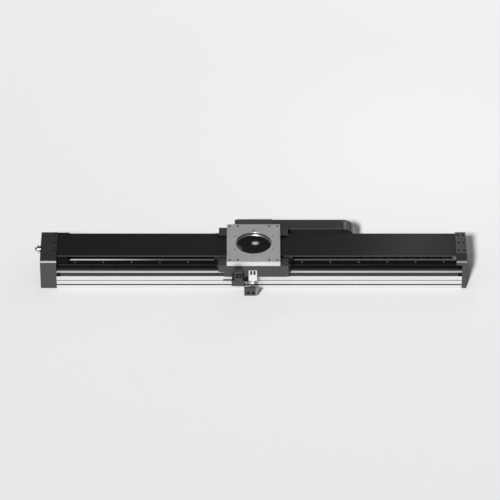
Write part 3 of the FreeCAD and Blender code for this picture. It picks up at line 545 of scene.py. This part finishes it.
class MOTOR_OT_ends(bpy.types.Operator):
    """Finish both ends, the stops and the round socket"""

    bl_idname = "motor.ends"
    bl_label = "Ends"

    def execute(self, context):
        dress(context, "dark", ["left_end_plate", "right_end_plate", "connector_housing",
                                "cover_clamp"], edge=0)
        dress(context, "rubber", ["left_stop_block"])
        dress(context, "sunk", ["right_plate_screws"], edge=0.5)
        dress(context, "oxide", ["right_stop_posts"], edge=0.5)
        dress(context, "rubber", ["left_bumpers", "right_bumpers"], edge=0.8)
        dress(context, "nickel", ["round_socket_shell", "round_socket_insert"], edge=0.5)
        return {"FINISHED"}


class MOTOR_OT_cover(bpy.types.Operator):
    """Finish the long cover strip"""

    bl_idname = "motor.cover"
    bl_label = "Cover"

    def execute(self, context):
        dress(context, "cover", ["cover_strip"])
        return {"FINISHED"}


class MOTOR_OT_carriage(bpy.types.Operator):
    """Finish the carriage, its runner blocks and the payload plate"""

    bl_idname = "motor.carriage"
    bl_label = "Carriage"

    def execute(self, context):
        dress(context, "dark", ["saddle_plate", "front_beam", "rear_beam"])
        dress(context, "plate", ["payload_plate"], edge=0)
        dress(context, "gloss", ["bore_cover"], edge=0)
        dress(context, "oxide", ["runner_screws"], edge=0.5)
        dress(context, "rail", ["runner_block_front_left", "runner_block_front_right",
                                "runner_block_rear_left", "runner_block_rear_right"])
        dress(context, "rubber", ["runner_end_seals"])
        return {"FINISHED"}


def full_turn(steps):
    """Angles round a circle, in equal steps."""
    return [2 * math.pi * step / steps for step in range(steps)]


def join_rings(shape, rings, smooth=False):
    """Sides between rings of corners, each ring joined to the one after it."""
    for near, far in zip(rings, rings[1:]):
        for corner in range(len(near)):
            after = (corner + 1) % len(near)
            side = shape.faces.new((near[corner], near[after], far[after], far[corner]))
            side.smooth = smooth


def add_lead(shape, top, foot, bulge, radius):
    """A closed lead that leaves both plugs straight and swings across between them."""
    sides = 12
    steps = 12
    rings = []
    for step in range(steps + 1):
        share = step / steps
        # The lead swings across by a smooth step, and its slope sets the direction of the ring.
        swing = share * share * (3 - 2 * share)
        slope = 6 * share * (1 - share)
        middle = top.lerp(foot, share)
        middle.x = top.x + (foot.x - top.x) * swing
        middle.y += bulge * math.sin(math.pi * share) ** 2
        along = Vector(((foot.x - top.x) * slope, bulge * math.pi * math.sin(2 * math.pi * share),
                        foot.z - top.z)).normalized()
        across = along.cross(Vector((0, 1, 0))).normalized()
        out = along.cross(across)
        rings.append([shape.verts.new(middle + (across * math.cos(turn) + out * math.sin(turn)) * radius)
                      for turn in full_turn(sides)])
    join_rings(shape, rings, smooth=True)
    shape.faces.new(rings[0])
    shape.faces.new(rings[-1])


class MOTOR_OT_connectors(bpy.types.Operator):
    """Finish the sockets and plugs on the front of the carriage, and build the leads between them"""

    bl_idname = "motor.connectors"
    bl_label = "Connectors"

    def execute(self, context):
        dress(context, "plug", ["signal_socket", "lower_plug"])
        dress(context, "oxide", ["socket_screws"], edge=0.5)
        dress(context, "white", ["power_plug"])
        dress(context, "grey", ["plug_latch"])
        # The contacts take the near black of painted shade, for the wells they stand in.
        dress(context, "chamber", ["plug_contacts"], edge=0)
        leads = self.build_leads(context.scene.motor_sizes, finish_of(context, "jacket"))
        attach(leads, "carriage")
        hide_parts("plug_leads")
        return {"FINISHED"}

    def build_leads(self, sizes, material):
        """Two leads that cross under the power plug, and one beside the socket's flange."""
        low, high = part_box("plug_leads")
        radius = sizes.lead_radius
        depth = (low.y + high.y) / 2
        cross = high.x - radius - sizes.lead_top / 2
        plug_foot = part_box("power_plug")[0].z
        # Where two leads cross, each swings out by a little more than its radius.
        bulge = 1.05 * radius
        leads = bmesh.new()
        for side in (-1, 1):
            top = Vector((cross + side * sizes.lead_top / 2, depth, plug_foot))
            foot = Vector((cross - side * sizes.lead_foot / 2, depth, low.z))
            add_lead(leads, top, foot, side * bulge, radius)
        edge = low.x + radius
        add_lead(leads, Vector((edge, depth, high.z)), Vector((edge, depth, low.z)), 0, radius)
        return new_piece("crossed_plug_leads", leads, material)


def add_bar(shape, low, high, edge):
    """A closed bar along the chain with its four long edges chamfered."""
    rim = [(low.y + edge, low.z), (high.y - edge, low.z), (high.y, low.z + edge),
           (high.y, high.z - edge), (high.y - edge, high.z), (low.y + edge, high.z),
           (low.y, high.z - edge), (low.y, low.z + edge)]
    near, far = [[shape.verts.new((x, y, z)) for y, z in rim] for x in (low.x, high.x)]
    shape.faces.new(list(reversed(near)))
    shape.faces.new(far)
    join_rings(shape, (near, far))


def add_boss(shape, x, z, face, depth, radius):
    """A flat hinge boss on the side of a link; depth points into the link."""
    steps = 20
    # The rim of its face is broken by a small chamfer.
    rim_depth = 0.15 * depth
    face_radius = 0.97 * radius
    rings = []
    for y, reach in ((face + depth, radius), (face + rim_depth, radius), (face, face_radius)):
        rings.append([shape.verts.new((x + reach * math.cos(turn), y, z + reach * math.sin(turn)))
                      for turn in full_turn(steps)])
    join_rings(shape, rings)
    shape.faces.new(rings[-1])


class MOTOR_OT_chain(bpy.types.Operator):
    """Build the straight runs of the cable chain and finish its bend, tray and brackets"""

    bl_idname = "motor.chain"
    bl_label = "Cable chain"

    def execute(self, context):
        sizes = context.scene.motor_sizes
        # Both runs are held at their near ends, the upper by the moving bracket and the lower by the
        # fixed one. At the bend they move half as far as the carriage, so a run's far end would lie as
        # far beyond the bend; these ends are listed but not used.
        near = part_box("chain_upper_run")[0].x
        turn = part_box("chain_bend")[0].x
        far = 2 * turn - near
        for name, start, end in (("chain_upper_run", far, near), ("chain_lower_run", near, far)):
            low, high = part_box(name)
            run = self.build_run(name + "_links", low, high, turn, sizes, finish_of(context, "chain"))
            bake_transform(run)
            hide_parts(name)
        dress(context, "chain", ["chain_bend"], edge=0)
        dress(context, "chain", ["chain_fixed_bracket"], edge=0.8)
        dress(context, "coat", ["chain_tray", "chain_moving_bracket"], edge=0.6)
        dress(context, "oxide", ["tray_rivets", "chain_bracket_screws"], edge=0.4)
        return {"FINISHED"}

    def build_run(self, name, low, high, turn, sizes, material):
        """One straight run of links joined by lower necks, the last of which reaches to the bend."""
        links = bmesh.new()
        pitch = (high.x - low.x + sizes.link_slit) / sizes.links
        proud = sizes.hinge_height
        reach = turn - sizes.bend_gap
        inset = Vector((0, proud + sizes.link_neck, sizes.link_neck))
        height = (low.z + high.z) / 2
        for number in range(sizes.links):
            start = low.x + number * pitch
            stop = start + pitch - sizes.link_slit
            next_start = min(start + pitch, reach)
            add_bar(links, Vector((start, low.y + proud, low.z)),
                    Vector((stop, high.y - proud, high.z)), sizes.link_edge)
            add_bar(links, Vector((stop, low.y, low.z)) + inset,
                    Vector((next_start, high.y, high.z)) - inset, sizes.link_edge / 2)
            for face, depth in ((low.y, 2 * proud), (high.y, -2 * proud)):
                add_boss(links, (start + stop) / 2, height, face, depth, sizes.hinge_radius)
        return new_piece(name, links, material)


def aimed(name, data, place, target):
    """Puts a lamp or camera at a place, looking at a target."""
    made = bpy.data.objects.new(name, data)
    bpy.context.scene.collection.objects.link(made)
    made.location = place
    made.rotation_mode = "QUATERNION"
    made.rotation_quaternion = (target - place).to_track_quat("-Z", "Y")
    return made


def toward(azimuth, elevation, distance):
    """A step away from the stage; azimuth 0 is the camera's side and grows to the right."""
    turn = math.radians(azimuth)
    rise = math.radians(elevation)
    out = math.cos(rise)
    return Vector((math.sin(turn) * out, -math.cos(turn) * out, math.sin(rise))) * distance


class MOTOR_OT_stage(bpy.types.Operator):
    """Set up the camera, floor and studio lights"""

    bl_idname = "motor.stage"
    bl_label = "Studio"

    def execute(self, context):
        scene = context.scene
        studio = scene.motor_stage
        scene.view_settings.view_transform = "Standard"
        # The bright side of the base throws no patch of light onto the floor.
        scene.cycles.caustics_reflective = False
        self.add_camera(scene, studio)
        self.add_floor(studio)
        self.add_lights(scene, studio)
        return {"FINISHED"}

    def add_camera(self, scene, studio):
        """A long lens in front of the stage, looking down at it."""
        aim = Vector(studio.aim)
        camera = bpy.data.cameras.new("studio_camera")
        camera.lens = studio.lens
        camera.sensor_width = 36
        camera.clip_start = 0.1
        camera.clip_end = 100
        place = aim + toward(0, math.degrees(studio.elevation), studio.distance)
        scene.camera = aimed("studio_camera", camera, place, aim)

    def add_floor(self, studio):
        """A wide sheet of paper, just below the feet of the stage."""
        reach = 15
        drop = 0.3 * MM
        sheet = bmesh.new()
        bmesh.ops.create_grid(sheet, x_segments=1, y_segments=1, size=reach)
        # Matt paper: even and nearly white, without shine.
        paper = start_material("matt_studio_paper", Base_Color=(*studio.floor, 1), Roughness=0.9,
                               Specular_IOR_Level=0.1)[0]
        floor = mesh_object("studio_floor", sheet, paper)
        floor.location.z = -drop

    def add_lights(self, scene, studio):
        """A sun in front, three soft lamps behind, and a weak even sky."""
        sun = bpy.data.lights.new("key", "SUN")
        sun.energy = studio.key_strength
        sun.angle = studio.key_softness
        aimed("key", sun, toward(*KEY_STAND), Vector())
        self.add_softbox("rim_light", studio.rim_power, RIM_WIDTH, toward(*RIM_STAND), CARRIAGE)
        self.add_softbox("end_light", studio.end_power, END_WIDTH, toward(*END_STAND), RIGHT_HALF)
        self.add_softbox("cover_glow", studio.glow_power, GLOW_WIDTH, COVER_RIGHT + toward(*GLOW_STAND),
                         COVER_RIGHT)
        world = bpy.data.worlds.new("studio_sky")
        world.use_nodes = True
        sky = world.node_tree.nodes["Background"]
        sky.inputs["Color"].default_value = (1, 1, 1, 1)
        sky.inputs["Strength"].default_value = studio.sky
        scene.world = world

    def add_softbox(self, name, watts, width, place, target):
        """A round soft lamp, aimed at what it lights."""
        lamp = bpy.data.lights.new(name, "AREA")
        lamp.energy = watts
        lamp.shape = "DISK"
        lamp.size = width
        aimed(name, lamp, place, target)


class MOTOR_PT_stage(bpy.types.Panel):
    """Lists the steps that dress the stage"""

    bl_idname = "MOTOR_PT_stage"
    bl_label = "Linear Motor Stage"
    bl_space_type = "VIEW_3D"
    bl_region_type = "UI"
    bl_category = "Motor Stage"

    def draw(self, context):
        column = self.layout.column()
        for step in STEPS:
            column.operator(step.bl_idname)


STEPS = (MOTOR_OT_base, MOTOR_OT_guide, MOTOR_OT_drive, MOTOR_OT_ends, MOTOR_OT_cover,
         MOTOR_OT_carriage, MOTOR_OT_connectors, MOTOR_OT_chain, MOTOR_OT_stage)
GROUPS = (("motor_colours", MotorColours), ("motor_sizes", MotorSizes), ("motor_stage", MotorStage))


def register():
    for name, group in GROUPS:
        bpy.utils.register_class(group)
        setattr(bpy.types.Scene, name, PointerProperty(type=group))
    for step in STEPS + (MOTOR_PT_stage,):
        bpy.utils.register_class(step)


def unregister():
    for step in reversed(STEPS + (MOTOR_PT_stage,)):
        bpy.utils.unregister_class(step)
    for name, group in reversed(GROUPS):
        delattr(bpy.types.Scene, name)
        bpy.utils.unregister_class(group)


def main():
    register()
    for step in STEPS:
        group, action = step.bl_idname.split(".")
        getattr(getattr(bpy.ops, group), action)()


if __name__ == "__main__":
    main()
